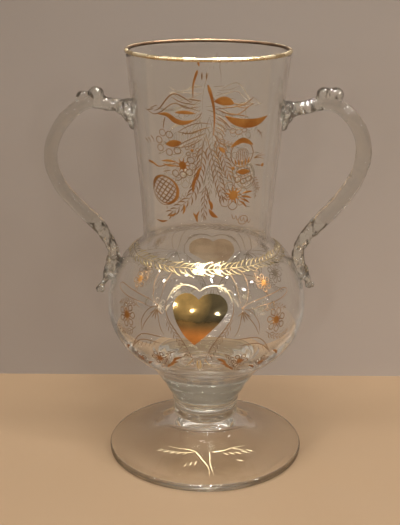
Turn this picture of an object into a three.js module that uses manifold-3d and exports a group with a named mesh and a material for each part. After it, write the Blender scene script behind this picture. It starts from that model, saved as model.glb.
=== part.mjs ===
// A two-handled footed vase of clear blown glass with a gilt lip.
// Millimetres, +Z up. It stands on z = 0 about the Z axis, and its handles reach out along -X and +X.

import * as THREE from "three";
import { mergeVertices } from "three/addons/utils/BufferGeometryUtils.js";
import Module from "manifold-3d";

// Foot: a drawn disc that rises to the collar, hollow underneath.
const FOOT_RADIUS = 60.3;
const FOOT_HEIGHT = 24.4;
const FOOT_TOP_RADIUS = 19.3;
const FOOT_EDGE = 4.5; // thickness at the edge
const FOOT_EDGE_ROUND = 1.4;
const FOOT_RING = 5.5; // width of the flat ring that it stands on
const FOOT_HOLLOW = 18.5; // depth of the hollow at the middle

// Collar: the pinched disc between the foot and the stem.
const COLLAR_HEIGHT = 7.7;
const COLLAR_RADIUS = 19.9;
const COLLAR_EDGE = 2.6; // how far the rounded edge runs in over each face

// Stem: a solid cone with rings left by the jack's blades.
const STEM_HEIGHT = 23.9;
const WAIST_RADIUS = 18.2;
const STEM_TOP_RADIUS = 32.7;
const STEM_RINGS = 3;
const STEM_RING_DEPTH = 0.25;

// Vessel: a squat round bowl and a tall flaring neck, blown in one.
const BASE_RISE = 4.3; // from the stem up to where the bowl springs out
const BASE_RADIUS = 35.2;
const BELLY_RISE = 35.7;
const BELLY_RADIUS = 59.7;
const SHOULDER_RISE = 38;
const SHOULDER_RADIUS = 42.6;
const SHOULDER_LEAN = 1.3; // how far it runs in for each millimetre of rise, where it meets the neck
const NECK_FILLET = 7.5;
const NECK_RADIUS = 37.9;
const NECK_HEIGHT = 108.2;
const LIP_RADIUS = 47.15;
const FLOOR_THICKNESS = 3.3;
const BASE_WALL = 4;
const BELLY_WALL = 2.4;
const NECK_WALL = 1.7;

// Gilding of the lip: a film over its flat top and down its outside.
const GILT_BAND = 2.2;
const GILT_FILM = 0.3;
const GILT_GAP = 0.3;

// Handles: each is one trail of glass, laid on the neck, folded for a thumb rest, bowed out,
// and pressed on the shoulder of the bowl, with its tail curled away.
const HANDLE_GAP = 0.3;
const HANDLE_TOP_DROP = 35.5; // from the lip's top down to where the trail meets the neck
const HANDLE_FOOT_RISE = 25.5; // from the belly up to the middle of the pressed pad
const HANDLE_CROWN_RISE = 6.8; // from the upper joint up to the crown of the bow
const HANDLE_CROWN_OUT = 21;
const HANDLE_REACH = 95.5; // from the axis out to the bow's widest point
const BOW_DROP = 26; // from the upper joint down to the widest point
const ROD_DEPTH = 9;
const ARM_THICKNESS = 7.2;
const HEEL_THICKNESS = 6.8;
const NECK_PAD = { out: 5, across: 7.5, up: 8.6, lift: 1 };
const THUMB_REST = { out: 8, across: 5.4, up: 4.7, lift: 2.2 };
const BOWL_PAD = { out: 6, across: 6.4, up: 9.4, lift: -1, lean: 0.35 };
const TAIL_RADIUS = 2.9;
const TAIL_REACH = 9.4; // how far the tail's end stands out from the pad's middle
const TAIL_DROP = 15.6;
const LEFT = { thickness: 7.8 };
const RIGHT = { thickness: 8.8 };

// Steps of the round shapes.
const AROUND = 48;
const ARC_STEPS = 6;
const FILLET_STEPS = 3;
const NECK_STEPS = 4;
const ROD_STEPS = 28;
const ROD_SIDES = 10;
const TAIL_STEPS = 5;
const LUMP_STEPS = 12;

// Heights that follow from the sizes.
const COLLAR_Z = FOOT_HEIGHT;
const STEM_Z = COLLAR_Z + COLLAR_HEIGHT;
const VESSEL_Z = STEM_Z + STEM_HEIGHT;
const BASE_Z = VESSEL_Z + BASE_RISE;
const BELLY_Z = BASE_Z + BELLY_RISE;
const SHOULDER_Z = BELLY_Z + SHOULDER_RISE;
const NECK_Z = SHOULDER_Z + NECK_FILLET;
const LIP_Z = NECK_Z + NECK_HEIGHT;

const wasm = await Module();
wasm.setup();

const glass = new THREE.MeshStandardMaterial({
  color: 0xd4dbd2,
  roughness: 0.03,
  metalness: 0,
  transparent: true,
  opacity: 0.35,
});
const tintedGlass = glass.clone();
tintedGlass.color.set(0xb9c9bd);
const gilt = new THREE.MeshStandardMaterial({ color: 0xb98a3e, roughness: 0.25, metalness: 1 });

const at = (radius, height) => new THREE.Vector2(radius, height);

// Points of a cubic curve in the plane of radius and height.
function cubic(from, pullFrom, pullTo, to, steps) {
  return new THREE.CubicBezierCurve(from, pullFrom, pullTo, to).getPoints(steps);
}

// A closed or axis-to-axis outline turned about Z.
function turned(outline) {
  return new THREE.LatheGeometry(outline, AROUND).rotateX(Math.PI / 2);
}

// Moves each point of an open outline along its normal, to the left of its direction for a distance above 0.
function offset(outline, distanceAt) {
  return outline.map((point, i) => {
    const before = outline[Math.max(i - 1, 0)];
    const after = outline[Math.min(i + 1, outline.length - 1)];
    const along = after.clone().sub(before).normalize();
    const distance = distanceAt(point);
    return at(point.x - along.y * distance, point.y + along.x * distance);
  });
}

// The outside of the vessel, from the spring of the bowl up to the lip.
function vesselOutside() {
  const fall = BELLY_RISE / Math.sqrt(1 - (BASE_RADIUS / BELLY_RADIUS) ** 2);
  const first = Math.asin(BELLY_RISE / fall);
  const lower = [];
  for (let i = 0; i < ARC_STEPS; i++) {
    const angle = first * (1 - i / ARC_STEPS);
    lower.push(at(BELLY_RADIUS * Math.cos(angle), BELLY_Z - fall * Math.sin(angle)));
  }
  const bend = SHOULDER_RISE / 2;
  const ease = SHOULDER_RISE / 5;
  const shoulder = cubic(
    at(BELLY_RADIUS, BELLY_Z),
    at(BELLY_RADIUS, BELLY_Z + bend),
    at(SHOULDER_RADIUS + SHOULDER_LEAN * ease, SHOULDER_Z - ease),
    at(SHOULDER_RADIUS, SHOULDER_Z),
    ARC_STEPS,
  );
  const hook = NECK_FILLET * 0.35;
  const fillet = cubic(
    at(SHOULDER_RADIUS, SHOULDER_Z),
    at(SHOULDER_RADIUS - SHOULDER_LEAN * hook, SHOULDER_Z + hook),
    at(NECK_RADIUS, NECK_Z - hook),
    at(NECK_RADIUS, NECK_Z),
    FILLET_STEPS,
  );
  const flare = LIP_RADIUS - NECK_RADIUS;
  const neck = cubic(
    at(NECK_RADIUS, NECK_Z),
    at(NECK_RADIUS + 0.05 * flare, NECK_Z + 0.17 * NECK_HEIGHT),
    at(NECK_RADIUS + 0.45 * flare, NECK_Z + 0.45 * NECK_HEIGHT),
    at(LIP_RADIUS, LIP_Z),
    NECK_STEPS,
  );
  return [...lower, ...shoulder, ...fillet.slice(1), ...neck.slice(1)];
}

const OUTSIDE = vesselOutside();

// The glass thins from the base to the belly and from there to the neck.
function wallAt(point) {
  if (point.y < BELLY_Z) {
    return THREE.MathUtils.mapLinear(point.y, BASE_Z, BELLY_Z, BASE_WALL, BELLY_WALL);
  }
  return Math.max(NECK_WALL, THREE.MathUtils.mapLinear(point.y, BELLY_Z, NECK_Z, BELLY_WALL, NECK_WALL));
}

// The outside radius at a height above the belly.
function radiusAt(height) {
  const next = OUTSIDE.findIndex((point) => point.y > Math.max(height, BELLY_Z));
  const [low, high] = [OUTSIDE[next - 1], OUTSIDE[next]];
  return THREE.MathUtils.mapLinear(height, low.y, high.y, low.x, high.x);
}

function vessel() {
  const inside = offset(OUTSIDE, wallAt);
  inside[inside.length - 1].y = LIP_Z;
  const [corner, above] = inside;
  const floorZ = VESSEL_Z + FLOOR_THICKNESS;
  const slope = corner.clone().sub(above).normalize();
  const reach = (corner.y - floorZ) / -slope.y;
  const floor = cubic(
    at(0, floorZ),
    at(corner.x * 0.5, floorZ),
    corner.clone().addScaledVector(slope, reach * 0.8),
    corner,
    FILLET_STEPS,
  );
  return turned([
    at(0, VESSEL_Z),
    at(STEM_TOP_RADIUS, VESSEL_Z),
    ...OUTSIDE,
    ...inside.reverse(),
    ...floor.reverse().slice(1),
  ]);
}

function stem() {
  const side = [];
  const steps = STEM_RINGS * 4;
  for (let i = 0; i <= steps; i++) {
    const share = i / steps;
    const cone = THREE.MathUtils.lerp(WAIST_RADIUS, STEM_TOP_RADIUS, share);
    const ring = STEM_RING_DEPTH * Math.sin(share * STEM_RINGS * 2 * Math.PI);
    side.push(at(cone + ring, STEM_Z + share * STEM_HEIGHT));
  }
  return turned([at(0, STEM_Z), ...side, at(0, VESSEL_Z)]);
}

function collar() {
  const lower = cubic(
    at(COLLAR_RADIUS - COLLAR_EDGE, COLLAR_Z),
    at(COLLAR_RADIUS - COLLAR_EDGE / 3, COLLAR_Z),
    at(COLLAR_RADIUS, COLLAR_Z + COLLAR_HEIGHT / 4),
    at(COLLAR_RADIUS, COLLAR_Z + COLLAR_HEIGHT / 2),
    FILLET_STEPS,
  );
  const upper = lower.map((point) => at(point.x, 2 * COLLAR_Z + COLLAR_HEIGHT - point.y)).reverse();
  return turned([at(0, COLLAR_Z), ...lower, ...upper.slice(1), at(0, STEM_Z)]);
}

function foot() {
  const rim = FOOT_RADIUS - FOOT_EDGE_ROUND;
  const ring = rim - FOOT_RING;
  const round = (height, from) =>
    [0, 1, 2, 3].map((i) => {
      const angle = from + (i / 3) * (Math.PI / 2);
      return at(rim + FOOT_EDGE_ROUND * Math.cos(angle), height + FOOT_EDGE_ROUND * Math.sin(angle));
    });
  const rise = FOOT_HEIGHT - FOOT_EDGE;
  const width = rim - FOOT_TOP_RADIUS;
  const top = cubic(
    at(rim, FOOT_EDGE),
    at(rim - width * 0.55, FOOT_EDGE + rise * 0.16),
    at(FOOT_TOP_RADIUS + width * 0.1, FOOT_EDGE + rise * 0.5),
    at(FOOT_TOP_RADIUS, FOOT_HEIGHT),
    ARC_STEPS,
  );
  const hollow = cubic(
    at(0, FOOT_HOLLOW),
    at(ring * 0.42, FOOT_HOLLOW),
    at(ring * 0.4, FOOT_HOLLOW * 0.18),
    at(ring, 0),
    ARC_STEPS,
  );
  return turned([
    ...hollow,
    ...round(FOOT_EDGE_ROUND, -Math.PI / 2),
    ...round(FOOT_EDGE - FOOT_EDGE_ROUND, 0),
    ...top.slice(1),
    at(0, FOOT_HEIGHT),
  ]);
}

function rimGilding() {
  const wall = wallAt(at(LIP_RADIUS, LIP_Z));
  const low = LIP_Z - GILT_BAND;
  const inner = radiusAt(low) + GILT_GAP;
  const outer = LIP_RADIUS + GILT_GAP;
  return turned([
    at(LIP_RADIUS - wall, LIP_Z),
    at(outer, LIP_Z),
    at(inner, low),
    at(inner + GILT_FILM, low),
    at(outer + GILT_FILM, LIP_Z + GILT_FILM),
    at(LIP_RADIUS - wall, LIP_Z + GILT_FILM),
    at(LIP_RADIUS - wall, LIP_Z),
  ]);
}

// A closed rod of oval section along a curve that lies in the plane y = 0.
function rod(curve, steps, thicknessAt, depth) {
  const corners = [];
  const faces = [];
  for (let i = 0; i <= steps; i++) {
    const share = i / steps;
    const centre = curve.getPointAt(share);
    const along = curve.getTangentAt(share);
    const across = new THREE.Vector3(along.z, 0, -along.x);
    for (let j = 0; j < ROD_SIDES; j++) {
      const angle = (j / ROD_SIDES) * 2 * Math.PI;
      const corner = centre.clone().addScaledVector(across, (thicknessAt(share) / 2) * Math.cos(angle));
      corner.y += (depth / 2) * Math.sin(angle);
      corners.push(corner);
    }
  }
  const index = (ring, side) => ring * ROD_SIDES + (side % ROD_SIDES);
  for (let i = 0; i < steps; i++) {
    for (let j = 0; j < ROD_SIDES; j++) {
      faces.push(index(i, j), index(i, j + 1), index(i + 1, j));
      faces.push(index(i, j + 1), index(i + 1, j + 1), index(i + 1, j));
    }
  }
  for (let j = 1; j < ROD_SIDES - 1; j++) {
    faces.push(index(0, 0), index(0, j + 1), index(0, j));
    faces.push(index(steps, 0), index(steps, j), index(steps, j + 1));
  }
  const geometry = new THREE.BufferGeometry().setFromPoints(corners);
  geometry.setIndex(faces);
  return geometry;
}

// A rounded lump at a point of the handle, moved up by its lift and leaned outwards at its foot.
function lump(place, { out, across, up, lift = 0, lean = 0 }) {
  return new THREE.SphereGeometry(1, LUMP_STEPS, LUMP_STEPS)
    .scale(out, across, up)
    .rotateY(-lean)
    .translate(place.x, 0, place.z + lift);
}

function toSolid(geometry) {
  const bare = geometry.clone();
  bare.deleteAttribute("normal");
  bare.deleteAttribute("uv");
  const merged = mergeVertices(bare, 1e-4);
  const corners = Array.from(merged.index.array);
  const kept = [];
  for (let i = 0; i < corners.length; i += 3) {
    const [a, b, c] = corners.slice(i, i + 3);
    if (a !== b && b !== c && c !== a) kept.push(a, b, c);
  }
  return new wasm.Manifold(
    new wasm.Mesh({
      numProp: 3,
      vertProperties: merged.attributes.position.array,
      triVerts: new Uint32Array(kept),
    }),
  );
}

function toGeometry(solid) {
  const mesh = solid.getMesh();
  const geometry = new THREE.BufferGeometry();
  geometry.setAttribute("position", new THREE.BufferAttribute(new Float32Array(mesh.vertProperties), 3));
  geometry.setIndex(new THREE.BufferAttribute(new Uint32Array(mesh.triVerts), 1));
  geometry.computeVertexNormals();
  return geometry;
}

// The vessel without its hollow, grown by the gap that a handle keeps.
function vesselGrown() {
  const skin = offset(OUTSIDE, () => -HANDLE_GAP);
  const base = skin[0];
  const top = skin[skin.length - 1];
  return toSolid(turned([at(0, base.y), ...skin, at(0, top.y)]));
}

// A point between two others, with its own share of the way out and of the way up.
function between(from, to, outShare, upShare) {
  const x = THREE.MathUtils.lerp(from.x, to.x, outShare);
  return new THREE.Vector3(x, 0, THREE.MathUtils.lerp(from.z, to.z, upShare));
}

// The trail's thickness along the bow: slim on the neck's arm and at the heel, full in between.
function bowThickness(share, full) {
  const swell = THREE.MathUtils.smoothstep(share, 0.1, 0.35) - THREE.MathUtils.smoothstep(share, 0.55, 0.9);
  return THREE.MathUtils.lerp(share < 0.5 ? ARM_THICKNESS : HEEL_THICKNESS, full, swell);
}

// A handle on the +X side.
function handle({ thickness }) {
  const topZ = LIP_Z - HANDLE_TOP_DROP;
  const heelZ = BELLY_Z + HANDLE_FOOT_RISE;
  const top = new THREE.Vector3(radiusAt(topZ), 0, topZ);
  const heel = new THREE.Vector3(radiusAt(heelZ) + HEEL_THICKNESS / 3, 0, heelZ);
  const crown = new THREE.Vector3(top.x + HANDLE_CROWN_OUT, 0, topZ + HANDLE_CROWN_RISE);
  const widest = new THREE.Vector3(HANDLE_REACH - thickness / 2, 0, topZ - BOW_DROP);
  const bow = new THREE.CatmullRomCurve3([
    top,
    between(top, crown, 0.45, 0.7),
    crown,
    between(crown, widest, 0.67, 0.28),
    widest,
    between(heel, widest, 0.82, 0.69),
    between(heel, widest, 0.42, 0.45),
    between(heel, widest, 0.14, 0.26),
    heel,
  ]);
  const tailEnd = new THREE.Vector3(heel.x + TAIL_REACH, 0, heelZ - TAIL_DROP);
  const tail = new THREE.CatmullRomCurve3([
    between(heel, tailEnd, 0.05, 0.2),
    between(heel, tailEnd, 0.4, 0.6),
    tailEnd,
  ]);
  const tailThickness = 2 * TAIL_RADIUS * 0.96; // so that the round end covers it
  const pieces = [
    rod(bow, ROD_STEPS, (share) => bowThickness(share, thickness), ROD_DEPTH),
    rod(tail, TAIL_STEPS, () => tailThickness, tailThickness),
    lump(top, NECK_PAD),
    lump(crown, THUMB_REST),
    lump(heel, BOWL_PAD),
    lump(tailEnd, { out: TAIL_RADIUS, across: TAIL_RADIUS, up: TAIL_RADIUS }),
  ].map(toSolid);
  const joined = pieces.reduce((all, piece) => all.add(piece));
  return toGeometry(joined.subtract(vesselGrown()));
}

const vase = new THREE.Group();

function add(name, geometry, material) {
  const mesh = new THREE.Mesh(geometry, material);
  mesh.name = name;
  vase.add(mesh);
  return mesh;
}

add("foot", foot(), tintedGlass);
add("collar", collar(), tintedGlass);
add("stem", stem(), tintedGlass);
add("vessel", vessel(), glass);
add("rim_gilding", rimGilding(), gilt);
add("right_handle", handle(RIGHT), glass);
add("left_handle", handle(LEFT), glass).rotation.z = Math.PI;

export default vase;
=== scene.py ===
import bisect
import math
import random

import bmesh
import bpy
from mathutils import Matrix, Vector, geometry, noise


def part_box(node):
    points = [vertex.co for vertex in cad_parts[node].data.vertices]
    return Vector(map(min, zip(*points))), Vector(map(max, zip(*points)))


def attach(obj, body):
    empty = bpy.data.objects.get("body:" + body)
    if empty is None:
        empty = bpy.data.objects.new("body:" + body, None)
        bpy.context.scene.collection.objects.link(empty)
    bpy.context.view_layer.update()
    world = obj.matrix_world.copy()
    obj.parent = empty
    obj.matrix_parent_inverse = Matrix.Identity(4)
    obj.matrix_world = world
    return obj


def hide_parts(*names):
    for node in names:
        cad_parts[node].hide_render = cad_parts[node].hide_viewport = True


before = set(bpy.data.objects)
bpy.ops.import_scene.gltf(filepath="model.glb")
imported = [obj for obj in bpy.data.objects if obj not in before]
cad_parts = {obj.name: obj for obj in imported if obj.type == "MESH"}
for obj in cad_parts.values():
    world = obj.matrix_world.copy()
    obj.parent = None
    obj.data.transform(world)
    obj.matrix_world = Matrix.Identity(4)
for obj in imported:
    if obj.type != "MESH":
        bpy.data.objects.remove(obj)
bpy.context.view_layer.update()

# A two-handled footed vase of clear blown glass, with gilt ornament.
# Shapes are worked out in millimetres and made in metres.
MM = 0.001


def sizes(node):
    """Lowest and highest corner of a CAD node, in millimetres."""
    low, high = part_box(node)
    return low / MM, high / MM


FOOT_HIGH = sizes("foot")[1]
COLLAR_LOW, COLLAR_HIGH = sizes("collar")
STEM_LOW, STEM_HIGH = sizes("stem")
VESSEL_LOW, VESSEL_HIGH = sizes("vessel")

# Foot
FOOT_RADIUS = FOOT_HIGH.y
FOOT_HEIGHT = FOOT_HIGH.z
FOOT_TOP_RADIUS = 19.3
FOOT_EDGE = 4.5
FOOT_EDGE_ROUND = 1.4
FOOT_RING = 5.5
FOOT_HOLLOW = 18.5

# Collar and stem
COLLAR_RADIUS = COLLAR_HIGH.y
WAIST_RADIUS = 18.2
STEM_TOP_RADIUS = 32.7
STEM_RINGS = 3
STEM_RING_DEPTH = 0.25

# Vessel. Its base, belly, shoulder and the foot of its neck each rise from the one before
VESSEL_Z = VESSEL_LOW.z
LIP_Z = VESSEL_HIGH.z
BASE_RISE, BELLY_RISE, SHOULDER_RISE, NECK_RISE = 4.3, 35.7, 38, 7.5
BASE_Z = VESSEL_Z + BASE_RISE
BASE_RADIUS = 35.2
BELLY_Z = BASE_Z + BELLY_RISE
BELLY_RADIUS = VESSEL_HIGH.y
SHOULDER_Z = BELLY_Z + SHOULDER_RISE
SHOULDER_RADIUS = 42.6
SHOULDER_LEAN = 1.3
NECK_Z = SHOULDER_Z + NECK_RISE
NECK_RADIUS = 37.9
LIP_RADIUS = 47.15
FLOOR_THICKNESS = 3.3
BASE_WALL = 4
BELLY_WALL = 2.4
NECK_WALL = 1.7

# Gilding: its gap to the glass, its thickness, and how much of a stroke's swell is kept
GILT_SEAT = 0.03
GILT_FILM = 0.12
GILT_SWELL = 0.3
# On the lip: how far down outside and inside, how far in it leans there, its thickness and its outer bead
GILT_BAND = 2.2
GILT_INSIDE = 0.6
GILT_LEAN = 0.08
RIM_FILM = 0.16
RIM_BEAD = 0.4

# The lip was made by hand, and rises towards the front
LEAN_FROM = 215
LIP_RISE = 1.3

# Steps round a turned piece, along a curve and along a stroke, and the widest stroke that is a fine one
AROUND = 160
CURVE_STEPS = 22
PEN_STEP = 1.1
FINE_LINE = 1


# Outlines, as points of radius and height

def curve(start, pull_start, pull_end, end, steps=CURVE_STEPS):
    """Points of a cubic curve in the plane of radius and height."""
    corners = [Vector(corner) for corner in (start, pull_start, pull_end, end)]
    return geometry.interpolate_bezier(*corners, steps)


def arc(centre, radius, start, end, steps):
    """Points of a circle's arc, its angles in quarter turns."""
    angles = [(start + (end - start) * i / steps) * math.pi / 2 for i in range(steps + 1)]
    return [Vector((centre[0] + radius * math.cos(a), centre[1] + radius * math.sin(a))) for a in angles]


def moved_out(outline, distance_at):
    """Moves each point along the outline's normal, to the right of its direction."""
    moved = []
    for i, point in enumerate(outline):
        along = (outline[min(i + 1, len(outline) - 1)] - outline[max(i - 1, 0)]).normalized()
        moved.append(point + Vector((along.y, -along.x)) * distance_at(point))
    return moved


def vessel_outside():
    """The outside, from the spring of the bowl up to where the lip turns in."""
    rise = BELLY_Z - BASE_Z
    fall = rise / math.sqrt(1 - (BASE_RADIUS / BELLY_RADIUS) ** 2)
    first = math.asin(rise / fall)
    lower = []
    for i in range(CURVE_STEPS):
        angle = first * (1 - i / CURVE_STEPS)
        lower.append(Vector((BELLY_RADIUS * math.cos(angle), BELLY_Z - fall * math.sin(angle))))
    height = SHOULDER_Z - BELLY_Z
    ease = height / 5
    shoulder = curve(
        (BELLY_RADIUS, BELLY_Z),
        (BELLY_RADIUS, BELLY_Z + height / 2),
        (SHOULDER_RADIUS + SHOULDER_LEAN * ease, SHOULDER_Z - ease),
        (SHOULDER_RADIUS, SHOULDER_Z),
    )
    hook = (NECK_Z - SHOULDER_Z) * 0.35
    fillet = curve(
        (SHOULDER_RADIUS, SHOULDER_Z),
        (SHOULDER_RADIUS - SHOULDER_LEAN * hook, SHOULDER_Z + hook),
        (NECK_RADIUS, NECK_Z - hook),
        (NECK_RADIUS, NECK_Z),
        10,
    )
    flare = LIP_RADIUS - NECK_RADIUS
    tall = LIP_Z - NECK_Z
    neck = curve(
        (NECK_RADIUS, NECK_Z),
        (NECK_RADIUS + 0.05 * flare, NECK_Z + 0.17 * tall),
        (NECK_RADIUS + 0.45 * flare, NECK_Z + 0.45 * tall),
        (LIP_RADIUS, LIP_Z - NECK_WALL / 2),
        2 * CURVE_STEPS,
    )
    return lower + shoulder + fillet[1:] + neck[1:]


OUTSIDE = vessel_outside()
LIP_TURN = arc((LIP_RADIUS - NECK_WALL / 2, LIP_Z - NECK_WALL / 2), NECK_WALL / 2, 0, 2, 12)


def share_of(value, low, high):
    """How far a value lies from low to high, kept between 0 and 1."""
    return min(max((value - low) / (high - low), 0), 1)


def measured(outline):
    """The lengths along an outline, from its first point to each."""
    lengths = [0]
    for one, other in zip(outline, outline[1:]):
        lengths.append(lengths[-1] + (other - one).length)
    return lengths


def span_at(levels, wanted):
    """The index of the level above a wanted one, never the first, so that there is one below it."""
    return min(max(bisect.bisect(levels, wanted), 1), len(levels) - 1)


def wall_at(point):
    """The glass thins from the base to the belly, and from there to the neck."""
    if point.y < BELLY_Z:
        return BASE_WALL + (BELLY_WALL - BASE_WALL) * share_of(point.y, BASE_Z, BELLY_Z)
    return BELLY_WALL + (NECK_WALL - BELLY_WALL) * share_of(point.y, BELLY_Z, NECK_Z)


OUTSIDE_HEIGHTS = [point.y for point in OUTSIDE]


def radius_at(height):
    """The vessel's outside radius at a height."""
    i = span_at(OUTSIDE_HEIGHTS, height)
    low, high = OUTSIDE[i - 1], OUTSIDE[i]
    return low.x + (high.x - low.x) * share_of(height, low.y, high.y)


# Meshes

def as_object(name, data):
    """An object of a mesh, a curve, a lamp or a camera, in the scene."""
    thing = bpy.data.objects.new(name, data)
    bpy.context.scene.collection.objects.link(thing)
    return thing


def as_piece(name, bm, materials=()):
    """An object of a bmesh, which is then freed."""
    mesh = bpy.data.meshes.new(name)
    bm.to_mesh(mesh)
    bm.free()
    for material in materials:
        mesh.materials.append(material)
    return as_object(name, mesh)


def finished(name, bm, materials):
    """Closes the doubles, points the faces outwards and makes the object, with smooth shading."""
    bmesh.ops.remove_doubles(bm, verts=bm.verts, dist=1e-7)
    bmesh.ops.recalc_face_normals(bm, faces=bm.faces)
    for face in bm.faces:
        face.smooth = True
    return as_piece(name, bm, materials)


def opened(source):
    """A bmesh of the final mesh of a curve or of an object with modifiers, which is then removed."""
    seen = source.evaluated_get(bpy.context.evaluated_depsgraph_get())
    mesh = bpy.data.meshes.new_from_object(seen)
    bpy.data.objects.remove(source)
    bm = bmesh.new()
    bm.from_mesh(mesh)
    bpy.data.meshes.remove(mesh)
    return bm


def turned(name, outline, materials, closed=False):
    """An outline in millimetres, turned about the vase's axis."""
    bm = bmesh.new()
    points = [bm.verts.new((point.x * MM, 0, point.y * MM)) for point in outline]
    edges = [bm.edges.new(pair) for pair in zip(points, points[1:])]
    if closed:
        edges.append(bm.edges.new((points[-1], points[0])))
    bmesh.ops.spin(
        bm,
        geom=points + edges,
        cent=(0, 0, 0),
        axis=(0, 0, 1),
        dvec=(0, 0, 0),
        angle=2 * math.pi,
        steps=AROUND,
        use_merge=True,
    )
    return finished(name, bm, materials)


def risen(piece):
    """Lifts the front of the lip."""
    for vertex in piece.data.vertices:
        forward = 0.5 - vertex.co.y / MM / (2 * LIP_RADIUS)
        vertex.co.z += LIP_RISE * forward * share_of(vertex.co.z / MM, LEAN_FROM, LIP_Z) * MM
    return piece


# Materials

def feed(tree, socket, value):
    """Gives an input a value, or links it to an output or to the first output of a node."""
    if isinstance(value, bpy.types.Node):
        value = value.outputs[0]
    if isinstance(value, bpy.types.NodeSocket):
        tree.links.new(value, socket)
    else:
        socket.default_value = value


def add_node(tree, kind, *ordered, **named):
    """A node, whose inputs are fed in order or by name. Keywords in small letters are its own settings."""
    node = tree.nodes.new("ShaderNode" + kind)
    for key, value in named.items():
        if key.islower():
            setattr(node, key, value)
        else:
            feed(tree, node.inputs[key.replace("_", " ")], value)
    for socket, value in zip(node.inputs, ordered):
        feed(tree, socket, value)
    return node


def ramp(tree, share, *stops):
    """A colour ramp through stops, each a place along it and a colour."""
    node = add_node(tree, "ValToRGB", share)
    elements = node.color_ramp.elements
    for i, (position, colour) in enumerate((stops[0], stops[-1])):
        elements[i].position = position
        elements[i].color = (*colour, 1)
    for position, colour in stops[1:-1]:
        elements.new(position).color = (*colour, 1)
    return node


def object_place(tree):
    """Where a point lies on its piece, in metres from the middle of the vase's foot."""
    return add_node(tree, "TexCoord").outputs["Object"]


def away_from(tree, place, middle, reach):
    """How far a place is from a middle, as a share of a reach in metres."""
    moved = add_node(tree, "Mapping", place, Location=-middle / reach, Scale=[1 / reach] * 3)
    return add_node(tree, "VectorMath", moved, operation="LENGTH").outputs["Value"]


def new_material(name):
    """The empty node tree of a new material, and a function that gives it its shader."""
    material = bpy.data.materials.new(name)
    material.use_nodes = True
    tree = material.node_tree
    tree.nodes.clear()

    def covered_with(shader):
        add_node(tree, "OutputMaterial", shader)
        return material

    return tree, covered_with


def blown_skin():
    """The group of the faint waves and drawn-out smears that blowing leaves in a skin of glass."""
    group = bpy.data.node_groups.new("blown_skin", "ShaderNodeTree")
    for label, way, kind in (
        ("Waves", "INPUT", "NodeSocketFloat"),
        ("Depth", "INPUT", "NodeSocketFloat"),
        ("Normal", "OUTPUT", "NodeSocketVector"),
        ("Smear", "OUTPUT", "NodeSocketFloat"),
    ):
        group.interface.new_socket(label, in_out=way, socket_type=kind)
    given = group.nodes.new("NodeGroupInput").outputs
    place = object_place(group)
    stretched = add_node(group, "Mapping", place, Scale=(1, 1, 0.35))
    waves = add_node(group, "TexNoise", stretched, Scale=34, Detail=1.5, Roughness=0.4)
    bump = add_node(group, "Bump", Strength=given["Waves"], Distance=given["Depth"], Height=waves)
    smears = add_node(group, "TexNoise", place, Scale=90, Detail=3)
    result = group.nodes.new("NodeGroupOutput")
    feed(group, result.inputs["Normal"], bump)
    feed(group, result.inputs["Smear"], smears)
    return group


BLOWN_SKIN = blown_skin()
# How deep the skin's waves are, in metres, and where its smears start, are full, and how rough they are there
SKIN_DEPTH = 0.001
SMEAR_FROM, SMEAR_TO = 0.45, 0.75
SHEEN = 0.006
# How early glass counts as seen edge-on
EDGE_BLEND = 0.45


def skin(tree, waves):
    """The outputs of the blown skin, with waves of this strength."""
    node = tree.nodes.new("ShaderNodeGroup")
    node.node_tree = BLOWN_SKIN
    node.inputs["Waves"].default_value = waves
    node.inputs["Depth"].default_value = SKIN_DEPTH
    return node.outputs


def with_painted_streaks(tree, edge, painted_streaks):
    """Adds painted dark streaks, drawn out along the height, to the share of painted edge shade. They stand
    in for dark refractions in worked glass.
    """
    drawn = add_node(tree, "Mapping", object_place(tree), Scale=(1, 1, 0.45))
    streak_noise = add_node(tree, "TexNoise", drawn, Scale=330, Detail=2, Roughness=0.6)
    uneven = add_node(tree, "MapRange", streak_noise, 0.45, 0.7, 0, painted_streaks)
    return add_node(tree, "Math", uneven, edge, operation="ADD")


def glass(name, clear, edge_shade, shade, waves, through, edge_shade_span=(0.6, 0.85), bends=1.5, painted_streaks=0):
    """Blown glass with its waves. Its colour darkens where it is seen edge-on: partly the deeper tint of its
    thickness, partly painted shade for the dark room it refracts there. Light passes it in shadow.
    """
    tree, covered_with = new_material(name)
    surface = skin(tree, waves)
    edge = add_node(tree, "LayerWeight", Blend=EDGE_BLEND).outputs["Facing"]
    shade_share = with_painted_streaks(tree, edge, painted_streaks) if painted_streaks else edge
    body = add_node(
        tree,
        "BsdfPrincipled",
        Base_Color=ramp(tree, shade_share, (edge_shade_span[0], clear), (edge_shade_span[1], edge_shade)),
        Roughness=add_node(tree, "MapRange", surface["Smear"], SMEAR_FROM, SMEAR_TO, 0, SHEEN),
        Normal=surface["Normal"],
        Transmission_Weight=1,
        IOR=bends,
    )
    faint = (1 + through) / 2
    spread = add_node(tree, "BsdfTransparent", (faint, faint, faint, 1))
    passing = ramp(tree, edge, (0, (through, through, through * 0.995)), (1, shade))
    passed = add_node(tree, "BsdfTransparent", passing)
    path = add_node(tree, "LightPath").outputs
    diffused = add_node(tree, "MixShader", path["Is Diffuse Ray"], body, spread)
    return covered_with(add_node(tree, "MixShader", path["Is Shadow Ray"], diffused, passed))


def unseen():
    """The joint inside fused glass, which nothing shows."""
    tree, covered_with = new_material("fused_joint")
    return covered_with(add_node(tree, "BsdfTransparent"))


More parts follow.
